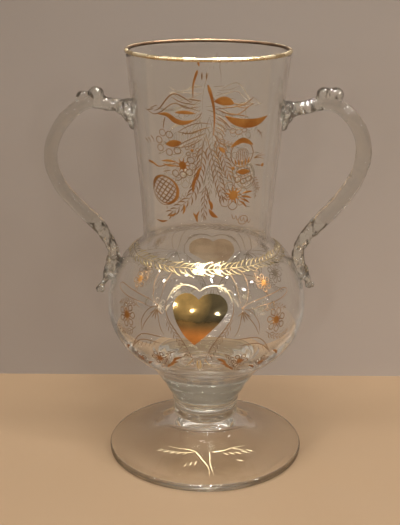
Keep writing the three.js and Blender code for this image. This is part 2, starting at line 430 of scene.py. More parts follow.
def gilding(name, dark, bright, rough, brushed, worn=0.18, painted_reflection=None):
    """Fired gold from a brown tone to a yellow one, a little brushed. Its colour may be multiplied in parts
    by a painted reflection.
    """
    tree, covered_with = new_material(name)
    place = object_place(tree)
    patches = add_node(tree, "TexNoise", place, Scale=110, Detail=4, Roughness=0.6)
    tones = ramp(tree, patches, (0.35, dark), (0.68, bright))
    grain = add_node(tree, "TexNoise", place, Scale=900, Detail=3)
    body = add_node(
        tree,
        "BsdfPrincipled",
        Metallic=1,
        Base_Color=painted_reflection(tree, place, tones) if painted_reflection else tones,
        Roughness=add_node(tree, "MapRange", patches, 0.3, 0.7, rough, rough + worn),
        Normal=add_node(tree, "Bump", Strength=brushed, Distance=0.0002, Height=grain),
    )
    return covered_with(body)


# The heart's painted reflections, by the distance from its bright lobe as a share of a reach in metres (a
# painted highlight on that lobe, painted shade in the middle, a duller grey on the far lobe), and its orange
# tip, a painted reflection of the floor
HEART_REFLECTION_REACH = 0.04
HEART_PAINTED_REFLECTION = [
    (0.16, (1, 0.92, 0.7)), (0.36, (0.3, 0.33, 0.36)), (0.48, (0.34, 0.38, 0.44)), (0.7, (0.56, 0.6, 0.72)),
]
TIP_FROM, TIP_TO = 0.005, 0.012
TIP_PAINTED_FLOOR_REFLECTION = (0.95, 0.62, 0.4, 1)


def heart_painted_reflection(lobe, tip):
    """Paints reflections on a gilt heart: a painted highlight on one lobe, painted shade in the middle, a
    duller grey on the other lobe, and a painted reflection of the floor at its tip.
    """
    def painted_reflection(tree, place, tones):
        heart_reflection = ramp(tree, away_from(tree, place, lobe, HEART_REFLECTION_REACH), *HEART_PAINTED_REFLECTION)
        height = add_node(tree, "SeparateXYZ", place).outputs["Z"]
        over_tip = add_node(tree, "MapRange", height, tip.z + TIP_FROM, tip.z + TIP_TO)
        with_tip_reflection = add_node(tree, "MixRGB", over_tip, TIP_PAINTED_FLOOR_REFLECTION, heart_reflection)
        return add_node(tree, "MixRGB", 1, tones, with_tip_reflection, blend_type="MULTIPLY")

    return painted_reflection


# Each glass has a clear colour, then a second colour that is painted shade where it is seen edge-on: partly
# the deeper tint of its thickness, partly a stand-in for the dark room it refracts
FOOT_SHADE = (0.22, 0.22, 0.18)
STEM_SHADE = (0.2, 0.22, 0.18)
HANDLE_SHADE = (0.2, 0.2, 0.18)
CLEAR_GLASS = glass("clear_glass", (0.985, 0.99, 0.98), (0.5, 0.46, 0.41), (0.4, 0.39, 0.36), 0.2, 0.8)
FOOT_GLASS = glass("foot_glass", (0.96, 0.93, 0.88), (0.4, 0.33, 0.26), FOOT_SHADE, 0.25, 0.9)
# The foot rim's dark brown glass is painted shade, for the dark floor and contact shadow it would refract
FOOT_RIM_SHADED_GLASS = glass(
    "foot_rim_painted_shade", (0.3, 0.26, 0.2), (0.03, 0.02, 0.012), FOOT_SHADE, 0.25, 0.5, (0.35, 0.65)
)
# The stem's green tint is that of thick glass, made darker as painted shade for what it refracts
STEM_GLASS = glass("stem_glass", (0.82, 0.87, 0.8), (0.3, 0.3, 0.25), STEM_SHADE, 0.2, 0.6, (0.3, 0.62))
COLLAR_GLASS = glass("collar_glass", (0.95, 1, 0.97), (0.4, 0.42, 0.38), STEM_SHADE, 0.2, 0.6, (0.4, 0.8))
# The rods' glass is tinted grey, a painted shade for the darker room they refract
TRAILED_GLASS = glass("trailed_glass", (0.79, 0.79, 0.76), (0.35, 0.33, 0.27), HANDLE_SHADE, 0.4, 0.65)
# Pinched glass: nearly black painted shade at its edges and painted dark streaks, for the dark room its folds
# refract
PINCHED_GLASS_PAINTED_SHADE = glass(
    "pinched_glass_painted_shade", (0.9, 0.92, 0.88), (0.04, 0.032, 0.022), HANDLE_SHADE, 0.2, 0.65, (0.3, 0.65), 1.6, 0.6
)
FUSED = unseen()
GILT = gilding("fired_gilding", (0.35, 0.155, 0.045), (0.5, 0.26, 0.08), 0.3, 0.5)
GILT_FINE = gilding("fine_gilding", (0.25, 0.15, 0.075), (0.36, 0.22, 0.11), 0.3, 0.5)
GILT_LAUREL = gilding("laurel_gilding", (0.3, 0.23, 0.11), (0.46, 0.36, 0.19), 0.2, 0.4)
GILT_UNDER = gilding("gilding_seen_through_glass", (0.2, 0.16, 0.12), (0.3, 0.24, 0.18), 0.45, 0.3)
HEART_UNDER = gilding("heart_seen_through_glass", (0.5, 0.37, 0.26), (0.66, 0.52, 0.38), 0.4, 0.2)
GILT_RIM = gilding("lip_gilding", (0.6, 0.47, 0.27), (0.85, 0.73, 0.5), 0.2, 0.3)
# A near-black copy of the lip gilding for its inward faces: the reverse side of the outer band, and painted
# shade on the gilt inside the lip
GILT_RIM_INWARD_SHADED = gilding("lip_gilding_inward_painted_shade", (0.08, 0.05, 0.03), (0.16, 0.1, 0.06), 0.35, 0.2)
# A paler, brighter copy of the gilding, a painted highlight for strokes where the gold would catch the lamps
GILT_PAINTED_HIGHLIGHT = gilding("gilding_painted_highlight", (0.7, 0.56, 0.33), (0.92, 0.8, 0.55), 0.3, 0.5)

# The gildings of a drawing, by their place in its list of materials
GILDINGS = [GILT, GILT_UNDER, GILT_PAINTED_HIGHLIGHT, GILT_FINE, GILT_LAUREL]
DEEP, UNDER, PAINTED_HIGHLIGHT, FINE, LAUREL = range(5)


# Glass

def fused_glass(name, outline, kind, *joints):
    """A turned piece of one glass. Its flat faces at the heights of joints are fused to the next piece."""
    piece = turned(name, outline, [kind, FUSED])
    for face in piece.data.polygons:
        at_joint = any(abs(face.center.z / MM - height) < 1e-3 for height in joints)
        if at_joint and abs(face.normal.z) > 0.99:
            face.material_index = 1
            face.use_smooth = False
    return piece


def vessel():
    """The bowl and neck as one shell. Its floor runs down to the middle from the foot of the inside."""
    inside = moved_out(OUTSIDE, lambda point: -wall_at(point))
    corner, above = inside[0], inside[1]
    floor_z = VESSEL_Z + FLOOR_THICKNESS
    slope = (corner - above).normalized()
    reach = (corner.y - floor_z) / -slope.y
    floor = curve((0, floor_z), (corner.x * 0.5, floor_z), corner + slope * reach * 0.8, corner)
    foot = [Vector((0, VESSEL_Z)), Vector((STEM_TOP_RADIUS, VESSEL_Z))]
    below_lip = [point for point in inside if point.y < LIP_Z - NECK_WALL]
    outline = foot + OUTSIDE + LIP_TURN[1:] + below_lip[::-1] + floor[::-1][1:]
    return fused_glass("vessel_glass", outline, CLEAR_GLASS, VESSEL_Z)


# The stem's side: its steps, how much it bows, and the bead at its foot by its share of the height
STEM_STEPS = 60
STEM_BOW = 0.15
BEAD_SHARE, BEAD_DEPTH = 0.15, 1.0
RING_FADE = 0.8


def stem():
    """A solid cone. A first bead stands over the collar, and the rings fade towards the bowl."""
    side = []
    low, high = STEM_LOW.z, STEM_HIGH.z
    for i in range(STEM_STEPS + 1):
        share = i / STEM_STEPS
        rise = (1 - STEM_BOW) * share + STEM_BOW * share * share
        straight = WAIST_RADIUS + (STEM_TOP_RADIUS - WAIST_RADIUS) * rise
        bead = BEAD_DEPTH * math.sin(min(share / BEAD_SHARE, 1) * math.pi)
        ring = STEM_RING_DEPTH * math.sin(share * STEM_RINGS * 2 * math.pi) * (1 - RING_FADE * share)
        side.append(Vector((straight + bead + ring, low + (high - low) * share)))
    outline = [Vector((0, low)), *side, Vector((0, high))]
    return fused_glass("stem_glass", outline, STEM_GLASS, low, high)


def collar():
    """The round ring between the foot and the stem."""
    low, high = COLLAR_LOW.z, COLLAR_HIGH.z
    middle = (low + high) / 2
    out = COLLAR_RADIUS
    lower = curve((FOOT_TOP_RADIUS, low), (out, low), (out, middle - 1), (out, middle), 8)
    upper = curve((out, middle), (out, middle + 1), (out, high), (WAIST_RADIUS, high), 8)
    outline = [Vector((0, low)), *lower, *upper[1:], Vector((0, high))]
    return fused_glass("collar_glass", outline, COLLAR_GLASS, low, high)


FOOT_SPREAD = FOOT_RADIUS - FOOT_TOP_RADIUS
FOOT_RISE = FOOT_HEIGHT - FOOT_EDGE
FOOT_TOP = curve(
    (FOOT_RADIUS - FOOT_EDGE_ROUND, FOOT_EDGE),
    (FOOT_RADIUS - 0.55 * FOOT_SPREAD, FOOT_EDGE + 0.16 * FOOT_RISE),
    (FOOT_TOP_RADIUS + 0.1 * FOOT_SPREAD, FOOT_EDGE + 0.5 * FOOT_RISE),
    (FOOT_TOP_RADIUS, FOOT_HEIGHT),
    2 * CURVE_STEPS,
)


def foot():
    """The disc, with its hollow under side. The sides of its rounded edge get a dark brown glass, a painted
    shade for the dark floor and the shadow under it.
    """
    rim = FOOT_RADIUS - FOOT_EDGE_ROUND
    ring = rim - FOOT_RING
    hollow = curve((0, FOOT_HOLLOW), (ring * 0.42, FOOT_HOLLOW), (ring * 0.4, FOOT_HOLLOW * 0.18), (ring, 0))
    under = arc((rim, FOOT_EDGE_ROUND), FOOT_EDGE_ROUND, -1, 0, 8)
    over = arc((rim, FOOT_EDGE - FOOT_EDGE_ROUND), FOOT_EDGE_ROUND, 0, 1, 8)
    outline = [*hollow, *under, *over, *FOOT_TOP[1:], Vector((0, FOOT_HEIGHT))]
    piece = fused_glass("foot_glass", outline, FOOT_GLASS, FOOT_HEIGHT)
    piece.data.materials.append(FOOT_RIM_SHADED_GLASS)
    for face in piece.data.polygons:
        if math.hypot(face.center.x, face.center.y) / MM > rim and abs(face.normal.z) < 0.8:
            face.material_index = 2
    return piece


# Handles: the middle line of each rod, out from the axis and up, from the neck to the tail's tip

LEFT_TRAIL = [
    (44, 213.5), (49, 216.6), (54.5, 217.6), (60, 218.8), (66.5, 219.6), (72, 218), (77, 214.6),
    (82.5, 209.5), (86.6, 204), (90, 197), (91.6, 190), (91.4, 182), (89, 174.5), (84.8, 167.2),
    (78.3, 159.3), (71.2, 152.2), (65.4, 146.2), (61, 139.9), (57.2, 133), (56.2, 127), (57.6, 120),
    (60.8, 113), (63.8, 106.5),
]
RIGHT_TRAIL = [
    (44, 212.5), (49, 215.6), (54.5, 216.6), (60, 218), (66.5, 219.2), (73, 218.6), (80.5, 213.8),
    (86.6, 206.5), (90, 198.5), (91.1, 190), (89.8, 181), (85.8, 171.5), (79.3, 162), (72, 153.2),
    (65, 146), (59.3, 139), (55.6, 132), (54.8, 126), (57, 120), (60.2, 113.5), (62.4, 108.5),
]
# Thickness and depth of the rods, by the share of their length
LEFT_THICKNESS = [(0, 10), (0.1, 8.2), (0.2, 8), (0.45, 8), (0.7, 8.8), (0.84, 7.4), (0.9, 8.6), (1, 5.6)]
RIGHT_THICKNESS = [
    (0, 10), (0.1, 8.2), (0.2, 8.6), (0.45, 9.6), (0.7, 9.8), (0.84, 7.6), (0.9, 8.2), (1, 5.6),
]
ROD_DEPTH = [(0, 12), (0.12, 9), (0.3, 9.2), (0.8, 9), (0.9, 11), (1, 6)]
# Each end is rounded over one part in this many
ROUND_ENDS = 22
# Lumps: two for the pad on the neck, two knobs, the pad on the bowl and the curl. Place, half sizes, lean
LEFT_LUMPS = [
    ((45.4, 214.6), (4.6, 10.5, 7.4), 8),
    ((42.8, 207.8), (3.4, 6.2, 4.6), 0),
    ((64.3, 223.8), (4.9, 5.2, 4.6), 0),
    ((72.4, 222.8), (4, 4.4, 3.2), 14),
    ((55.8, 119.5), (4.6, 6.6, 9), -14),
    ((64.6, 105.2), (3.1, 3.4, 3.1), 0),
]
RIGHT_LUMPS = [
    ((45.6, 213.8), (4.6, 10.5, 7.2), 8),
    ((43.4, 207.2), (3.4, 6.4, 4.4), 0),
    ((66.6, 224.4), (4.6, 5.4, 4.2), 0),
    ((73.4, 224.2), (4.6, 5, 4.2), 8),
    ((55.4, 120), (4.4, 6.4, 8.6), -16),
    ((62.6, 108.6), (3, 3.4, 3), 0),
]
# How finely rod and lumps are melted together, and how much and how often that is smoothed
VOXEL = 0.55
MELT_SMOOTH, MELT_ROUNDS = 0.6, 12
# Waves all over, and fine ripples on the lower half of the bow, by height. How many to a millimetre, how deep
WAVE_SCALE, WAVE_DEPTH = 0.09, 0.4
RIPPLE_SCALE, RIPPLE_DEPTH = 0.32, 0.3
RIPPLES = [(136, 0), (146, 1), (182, 1), (196, 0)]
# How deep the folds and their small facets are, by height: deepest in the upper knobs, and none on the bow
FOLD_SCALE, FACET_SCALE = 0.21, 0.36
FOLDS = [(100, 1.7), (134, 1.7), (150, 0), (204, 0), (212, 2.4), (230, 2.4)]
FACETS = [(100, 0), (206, 0), (212, 0.5)]
# The upper folds fade out along the arm
UPPER_Z = 200
ARM_FROM, ARM_TO = 54, 60
VESSEL_GAP = 0.05
# Pinched glass, whose dark streaks and nearly black edges are painted shade: the tail with the low end of the
# rod, the knobs, and the pad on the neck with the arm to the first knob
TAIL_TOP = 148
KNOB_BASE = 222.5
PAD_BASE = 195
PAD_REACH = 66


def smoothed(points, spacing):
    """Points spaced evenly along a smooth curve that passes through the given ones."""
    points = [Vector(point) for point in points]
    ends = [points[0] * 2 - points[1], *points, points[-1] * 2 - points[-2]]
    fine = []
    for before, start, end, after in zip(ends, ends[1:], ends[2:], ends[3:]):
        pull = start + (end - before) / 6
        push = end - (after - start) / 6
        fine += geometry.interpolate_bezier(start, pull, push, end, 9)[:-1]
    fine.append(points[-1])
    lengths = measured(fine)
    count = max(round(lengths[-1] / spacing), 2)
    spaced = []
    for i in range(count + 1):
        wanted = lengths[-1] * i / count
        k = span_at(lengths, wanted)
        spaced.append(fine[k - 1].lerp(fine[k], share_of(wanted, lengths[k - 1], lengths[k])))
    return spaced


def blend(values, share):
    """A value between those of a list of (share, value) pairs, eased from one to the next."""
    for (low, first), (high, second) in zip(values, values[1:]):
        if share <= high:
            step = share_of(share, low, high)
            return first + (second - first) * step * step * (3 - 2 * step)
    return values[-1][1]


def trail(bm, points, thickness):
    """A rod of oval section with rounded ends, extruded from one end face along its middle line."""
    centres = smoothed(points, 2)
    ring = bmesh.ops.create_circle(bm, cap_ends=True, radius=1, segments=20)["verts"]
    face = ring[0].link_faces[0]
    shape = [vertex.co.copy() for vertex in ring]
    for i, centre in enumerate(centres):
        share = i / (len(centres) - 1)
        along = (centres[min(i + 1, len(centres) - 1)] - centres[max(i - 1, 0)]).normalized()
        across = Vector((along.y, 0, -along.x))
        if i:
            face = bmesh.ops.extrude_discrete_faces(bm, faces=[face])["faces"][0]
            ring = list(face.verts)
        from_end = min(share, 1 - share) * ROUND_ENDS
        end = math.sqrt(max(1 - (1 - from_end) ** 2, 0.02)) if from_end < 1 else 1
        for vertex, offset in zip(ring, shape):
            place = Vector((centre.x, 0, centre.y)) + across * offset.x * blend(thickness, share) / 2 * end
            place.y += offset.y * blend(ROD_DEPTH, share) / 2 * end
            vertex.co = place


def lump(bm, place, half_sizes, lean):
    """A rounded lump, leaned about the Y axis."""
    turn = Matrix.Rotation(math.radians(lean), 4, "Y")
    matrix = Matrix.Translation((place[0], 0, place[1])) @ turn @ Matrix.Diagonal((*half_sizes, 1))
    bmesh.ops.create_icosphere(bm, subdivisions=3, radius=1, matrix=matrix)


def hand_worked(place, outwards, seed):
    """A place on a handle moved by the waves and folds of its glass, and kept clear of the vessel."""
    def unevenness(scale, part):
        return noise.noise(place * scale + Vector((seed, 0, 0)) * part)

    wave = unevenness(WAVE_SCALE, 1) * WAVE_DEPTH
    wave += unevenness(RIPPLE_SCALE, 1) * RIPPLE_DEPTH * blend(RIPPLES, place.z)
    folds = abs(unevenness(FOLD_SCALE, 2)) * blend(FOLDS, place.z)
    if place.z > UPPER_Z:
        folds *= 1 - share_of(place.x, ARM_FROM, ARM_TO)
    facets = abs(unevenness(FACET_SCALE, 3)) * blend(FACETS, place.z)
    moved = place + outwards * (wave - folds - facets)
    clear = radius_at(moved.z) + VESSEL_GAP
    out = math.hypot(moved.x, moved.y)
    if out < clear:
        moved.x *= clear / out
        moved.y *= clear / out
    return moved


def handle(name, side, points, thickness, lumps, seed):
    """One trail of glass with its lumps, melted together, in the vase's place on its side."""
    bm = bmesh.new()
    trail(bm, points, thickness)
    bmesh.ops.recalc_face_normals(bm, faces=bm.faces)
    for place, half_sizes, lean in lumps:
        lump(bm, place, half_sizes, lean)
    melt = as_piece("melt", bm)
    remesh = melt.modifiers.new("Remesh", "REMESH")
    remesh.mode = "VOXEL"
    remesh.voxel_size = VOXEL
    smooth = melt.modifiers.new("Smooth", "SMOOTH")
    smooth.factor = MELT_SMOOTH
    smooth.iterations = MELT_ROUNDS
    bm = opened(melt)
    for vertex in bm.verts:
        moved = hand_worked(vertex.co, vertex.normal, seed)
        vertex.co = Vector((moved.x * side, moved.y, moved.z)) * MM
    piece = finished(name, bm, [TRAILED_GLASS, PINCHED_GLASS_PAINTED_SHADE])
    for face in piece.data.polygons:
        out, height = abs(face.center.x) / MM, face.center.z / MM
        if height < TAIL_TOP or height > KNOB_BASE or (height > PAD_BASE and out < PAD_REACH):
            face.material_index = 1
    return piece


# Gilt drawing, in millimetres on a flat sheet that is then laid on the glass

def pen_nib():
    """The low, flat-bottomed section of a gilt stroke."""
    nib = bpy.data.curves.new("pen_nib", "CURVE")
    nib.dimensions = "2D"
    line = nib.splines.new("POLY")
    corners = [(-1, 0), (-0.55, 0.8), (0.55, 0.8), (1, 0)]
    line.points.add(len(corners) - 1)
    for point, corner in zip(line.points, corners):
        point.co = (*corner, 0, 1)
    line.use_cyclic_u = True
    return as_object("pen_nib", nib)


NIB = pen_nib()


# How wide a stroke is along its length

def tapered(share):
    return min(0.35 + 4 * share, 1, 0.3 + 3 * (1 - share))


def trailing(share):
    return min(0.4 + 6 * share, 1.05 - 0.85 * share)


def leafy(share):
    return max(math.sin(math.pi * share) ** 0.75, 0.08)


def round_ended(share):
    return max(math.sqrt(max(1 - (2 * share - 1) ** 2, 0)), 0.12)


def even(_share):
    return 1


class Pen:
    """Draws gilt strokes on one flat sheet."""

    def __init__(self, seed, fineness=1, boldness=1):
        self.hand = random.Random(seed)
        self.fineness = fineness
        self.boldness = boldness
        self.tone = DEEP
        self.sheet = bpy.data.curves.new("sheet", "CURVE")
        self.sheet.dimensions = "3D"
        self.sheet.twist_mode = "Z_UP"
        self.sheet.bevel_mode = "OBJECT"
        self.sheet.bevel_object = NIB
        self.sheet.use_fill_caps = True
        for material in GILDINGS:
            self.sheet.materials.append(material)

    def stroke(self, points, width, shape=tapered, closed=False, spacing=PEN_STEP):
        """A smooth stroke through points, as wide as its shape says along its length."""
        places = smoothed(points, spacing)
        if closed:
            places = smoothed([*points, points[0]], spacing)[:-1]
        line = self.sheet.splines.new("POLY")
        line.points.add(len(places) - 1)
        line.use_cyclic_u = closed
        line.material_index = FINE if self.tone == DEEP and width <= FINE_LINE else self.tone
        half = width / 2 * self.hand.uniform(0.88, 1.12)
        half *= self.fineness if width <= FINE_LINE else self.boldness
        for i, (point, place) in enumerate(zip(line.points, places)):
            point.co = (place.x, place.y, 0, 1)
            point.radius = half * (1 if closed else shape(i / (len(places) - 1)))

    def leaf(self, base, tip, width, bend=0.0):
        """A filled leaf, bent to the left of its direction by a share of its length."""
        self.stroke(bowed(base, tip, bend), width, leafy)

    def open_leaf(self, base, tip, width, line, bend):
        """A leaf in outline: two strokes that part and meet."""
        for side in (-1, 1):
            self.stroke(bowed(base, tip, bend + side * width / 2 / math.dist(base, tip)), line)

    def dot(self, middle, radius):
        ends = [(middle[0] + side * radius, middle[1]) for side in (-1, 1)]
        self.stroke(ends, 2 * radius, round_ended, spacing=radius / 5)

    def ring(self, middle, radius, line, squash=1.0):
        loop = [polar(middle, radius, 360 * i / 9, squash) for i in range(9)]
        self.stroke(loop, line, closed=True, spacing=0.8)


def polar(middle, reach, degrees, squash=1.0):
    """The point at a reach and a direction from the middle. Its height may be squashed."""
    angle = math.radians(degrees)
    return (middle[0] + reach * math.cos(angle), middle[1] + reach * squash * math.sin(angle))


def direction(one, other):
    """The direction from one point to another, in degrees."""
    return math.degrees(math.atan2(other[1] - one[1], other[0] - one[0]))


def bowed(base, tip, bend):
    """Three points from base to tip, the middle one moved to the left by a share of the length."""
    middle = ((base[0] + tip[0]) / 2, (base[1] + tip[1]) / 2)
    return [base, polar(middle, bend * math.dist(base, tip), direction(base, tip) + 90), tip]


def sprig(pen, stem, length, spacing, angle, width, line, shrink=0.45):
    """A stem with narrow leaves along its sides, shorter towards its tip, and one at the tip."""
    pen.stroke(stem, line, trailing)
    places = smoothed(stem, spacing)
    for i, place in enumerate(places[:-1]):
        share = i / (len(places) - 1)
        if share < 0.1:
            continue
        heading = direction(place, places[i + 1])
        for side in (-1, 1):
            turn = side * angle * pen.hand.uniform(0.8, 1.15)
            reach = length * (1 - shrink * share) * pen.hand.uniform(0.85, 1.15)
            start = polar(place, spacing * 0.25 * (1 + side), heading)
            pen.leaf(start, polar(start, reach, heading + turn), width, 0.12 * side)
    last = polar(places[-1], length * 0.35, direction(places[-2], places[-1]))
    pen.stroke([places[-2], last], width, leafy)


def daisy(pen, middle, petals, reach, petal_width, turn, rays, heart, line=0.55):
    """A flower with petals in outline and a filled, rayed middle."""
    half = petal_width * 0.42
    for i in range(petals):
        angle = turn + 360 * i / petals
        low = polar(middle, (reach * 0.42 + reach) / 2, angle)
        high = polar(middle, reach * 0.9, angle)
        loop = [
            polar(middle, reach * 0.42, angle),
            polar(low, half, angle + 90),
            polar(high, half, angle + 90),
            polar(middle, reach * 1.08, angle),
            polar(high, half, angle - 90),
            polar(low, half, angle - 90),
        ]
        pen.stroke(loop, line, closed=True, spacing=0.9)
    for i in range(rays):
        tip = polar(middle, reach * pen.hand.uniform(0.5, 0.66), turn + 360 * (i + 0.5) / rays)
        pen.stroke([middle, tip], heart * 0.75, trailing)
    pen.dot(middle, heart)


def cone(pen, middle, half_wide, half_high, tilt, rows):
    """A cross-hatched cone or berry with a heavy outline on its lower right."""
    def place(across, up):
        away = math.hypot(across * half_wide, up * half_high)
        angle = math.degrees(math.atan2(up * half_high, across * half_wide)) + tilt
        return polar(middle, away, angle)

    turns = [2 * math.pi * i / 12 for i in range(12)]
    around = [place(math.cos(a), math.sin(a) * (1 - 0.12 * math.cos(a))) for a in turns]
    pen.stroke(around, 0.7, closed=True, spacing=0.9)
    for size, width, degrees in ((0.93, 2.1, (-118, -80, -40, 0, 35, 62)), (0.96, 1.3, (75, 105, 135, 165))):
        turns = [math.radians(d) for d in degrees]
        pen.stroke([place(size * math.cos(a), size * math.sin(a)) for a in turns], width, leafy)
    for family in (-1, 1):
        for i in range(1, rows):
            level = -1 + 2 * i / rows
            half = math.sqrt(1 - level * level) * 0.93
            bulge = 0.22 * level
            line = []
            for step in (-1, -0.4, 0.4, 1):
                along, off = half * step, level + bulge * (1 - step * step)
                across = (along * math.cos(0.7) - off * math.sin(0.7) * family) * 0.97
                up = (along * math.sin(0.7) * family + off * math.cos(0.7)) * 0.97
                line.append(place(across, up))
            pen.stroke(line, 1.0)


def bud(pen, middle, radius, tilt):
    """A round flower under a cap of leaves, hatched along its length, with a filled base."""
    def edge(degrees):
        away = radius * (1 + 0.04 * math.cos(3 * math.radians(degrees)))
        return polar(middle, away, degrees + tilt, 1.08)

    pen.stroke([edge(degrees) for degrees in range(0, 360, 36)], 0.7, closed=True)
    for i in range(-3, 4):
        bulge = i / 4
        top = polar(middle, radius * 0.55, 90 + tilt - 38 * bulge)
        side = polar(middle, radius * 0.72 * bulge, tilt)
        base = polar(middle, radius * 0.95, -90 + tilt + 22 * bulge)
        pen.stroke([top, side, base], 0.5)
    for i in range(-2, 3):
        foot = polar(middle, radius * 0.98, -90 + tilt + 16 * i)
        pen.stroke([foot, polar(foot, radius * 0.5, 90 + tilt - 8 * i)], 1.5, trailing)
    turns = ((56, 1.24), (0, 1.2), (-56, 1.2))
    cap = [polar(middle, radius * reach, 90 + tilt + turn) for turn, reach in turns]
    pen.stroke(cap, radius * 0.42, leafy)


# Ornament of the neck, a hanging bunch. Across is from its middle, and up from the foot of the neck

def bunch_top(pen):
    """The stems and the upper leaves."""
    pen.stroke([(-5.2, 102.5), (-7.2, 95), (-7.4, 88)], 1.3, trailing)
    pen.stroke([(-5.0, 107), (-4.4, 104.6)], 1.1)
    pen.stroke([(-3.1, 101.4), (-3.2, 97.6)], 0.9)
    pen.stroke([(-0.9, 101.4), (-1.1, 97.6)], 0.9)
    pen.stroke([(-0.3, 95), (2.0, 86), (2.9, 78), (2.6, 68)], 1.6, trailing)
    # upper leaves, left
    pen.stroke([(-8, 85.6), (-17.2, 89.6), (-25.3, 81.2), (-29, 79.5)], 0.9)
    pen.stroke([(-4.2, 81), (-11, 83.2), (-17.5, 84.4), (-24.5, 79.4), (-29.6, 77.6), (-35.8, 80)], 0.8)
    pen.stroke([(-6, 84.5), (-13, 85.4), (-18.6, 88)], 0.7)
    pen.stroke([(-3.4, 86.6), (-9.6, 87.3)], 0.9)
    pen.stroke([(-5.2, 83.4), (-10.4, 82.4), (-14.6, 84)], 0.6)
    short_lines = (((-29.4, 80.3), (-34.4, 79)), ((-28.6, 81.6), (-31.8, 80.6)), ((-26.8, 82.4), (-29, 82)))
    for start, end in short_lines:
        pen.stroke([start, end], 0.7)
    pen.stroke([(-26.7, 77.9), (-21.2, 78.2), (-16.4, 75.2), (-11.8, 74.6), (-6.4, 76.4)], 3, leafy)
    pen.leaf((-16.8, 79.7), (-6.2, 79.8), 1.9, 0.04)
    pen.stroke([(-8, 75.8), (-4.8, 77.6), (-3.2, 80.6)], 0.7)
    # open leaves, left of the stem
    pen.stroke([(1.5, 74.3), (-3.3, 74.9), (-7.3, 74.1), (-11.8, 71.8), (-15.4, 69.2)], 0.7)
    pen.stroke([(0.6, 72.6), (-3.7, 71.2), (-9.1, 68.8), (-15.4, 69.2)], 1)
    for i in range(6):
        pen.stroke([(-3.2 - 1.8 * i, 71.6 - 0.4 * i), (-4.4 - 1.8 * i, 69.4 - 0.4 * i)], 0.6)
    pen.stroke([(-1.1, 69.3), (-6.5, 66.8), (-12, 63.9), (-17, 60.3)], 0.7)
    pen.stroke([(-2.9, 66.2), (-6.5, 63.4), (-10.6, 61.4), (-17, 60.3)], 0.8)
    for i in range(4):
        pen.stroke([(-5 - 2 * i, 66 - 1.2 * i), (-7.4 - 2 * i, 63.6 - 0.8 * i)], 0.5)
    # upper leaves, right
    pen.leaf((2.6, 86.4), (12.4, 84.8), 4.2, 0.1)
    pen.open_leaf((3.4, 82.4), (22.4, 84.4), 4.4, 0.8, -0.12)
    pen.stroke([(11, 85.4), (17, 84.2), (22.8, 87.6)], 0.8)
    pen.stroke([(12.4, 83.8), (18, 82.4), (23.6, 84.6)], 0.7)
    pen.stroke([(8, 78.6), (13, 75.6), (19, 73.9), (26, 74), (32.8, 76.4)], 4.8, leafy)
    pen.stroke([(6.4, 80.4), (13.4, 79.2), (20.4, 77.4)], 0.9)
    pen.stroke([(4.4, 78.4), (8.4, 75.2), (10.8, 71.8)], 0.8)
    for i in range(4):
        pen.stroke(bowed((3.8, 77 - 2.2 * i), (9.4 - 0.6 * i, 71.6 - 2 * i), 0.16), 0.6)
    for across, up, reach in ((12.4, 70.2, 1.6), (15.6, 69.4, 1.9), (18.6, 70.2, 1.4)):
        pen.ring((across, up), reach, 0.6, 0.8)
    pen.stroke([(26.4, 69.6), (29.1, 67.1), (30.5, 63.9)], 1, trailing)


def bunch_left(pen):
    """The flowers on the left, and the cone under them."""
    # oval flower, left, with a ring of small petals
    pen.stroke([(-22.8, 61.4), (-18.2, 62.4), (-13.8, 63.6)], 4.2, leafy)
    for petal in ((-20.4, 67.2), (-24.5, 67.8), (-26.9, 63.5), (-26.4, 59), (-20.9, 57.2), (-16.1, 58.6)):
        pen.ring(petal, 1.9, 0.6)
    pen.stroke([(-22.4, 76.6), (-23.4, 73), (-23.8, 70.2)], 0.8)
    drops = (((-37.9, 62.6), (-35, 60)), ((-35.4, 63.6), (-33, 60.6)), ((-32.8, 65), (-30.6, 61.6)))
    for start, end in drops:
        pen.stroke(bowed(start, end, 0.14), 1, trailing)
    daisy(pen, (-8.2, 59.2), 5, 3.6, 2.4, 10, 5, 0.8)
    # rayed flower, left
    pen.dot((-13.5, 50.4), 2.1)
    for degrees in range(0, 360, 40):
        pen.stroke([(-13.5, 50.4), polar((-13.5, 50.4), 4.3, degrees)], 1.1, trailing)
    for petal in ((-9, 53.6), (-8.2, 50), (-9.8, 46.6), (-13.4, 45), (-17.8, 45.4)):
        pen.ring(petal, 1.9, 0.6)
    pen.stroke([(-36.5, 49.8), (-32.6, 49.3), (-29.3, 47.9), (-25.4, 48.5)], 1.7, trailing)
    pen.stroke([(-27, 48.2), (-22, 49.9), (-16, 51.2)], 0.8)
    pen.leaf((-26.4, 51.4), (-16.4, 51.8), 1.3, 0.06)
    pen.leaf((-25.4, 50), (-16.4, 49.8), 1.1, -0.06)
    pen.stroke([(-25.1, 45.5), (-20.6, 46.8)], 0.7)
    # cone
    cone(pen, (-25.2, 34.6), 9, 8.6, 14, 8)
    pen.stroke([(-24.6, 25.2), (-24.3, 23.4)], 0.7)
    pen.stroke([(-13.4, 43.4), (-16.4, 41.2), (-18.4, 42)], 0.6)


def bunch_right(pen):
    """The round flower on the right, and what is under it."""
    # round flower and the small ones under it, right
    bud(pen, (18.3, 56.6), 6.6, 3)
    pen.leaf((15.6, 46.6), (23.8, 46), 3)
    pen.ring((19.6, 46.4), 4.2, 0.6, 0.66)
    pen.dot((13.4, 48.8), 1)
    for petal in ((16.6, 42), (20, 40.8), (23.2, 42)):
        pen.ring(petal, 1.7, 0.6)
    pen.stroke([(27.3, 49.4), (31.6, 48.2)], 1)
    pen.dot((32.7, 48.4), 1.1)
    for end in ((32, 55.6), (34.6, 53.8), (33.4, 51.8)):
        pen.stroke(bowed((25.8, 53.4), end, 0.08), 0.8, trailing)
    sprig(pen, [(24.4, 44), (28, 39.4), (31.4, 34)], 3.2, 2, 50, 0.7, 0.5)
    sprig(pen, [(26.6, 40.4), (29.4, 35), (29, 30)], 2.6, 2.2, 50, 0.6, 0.5)


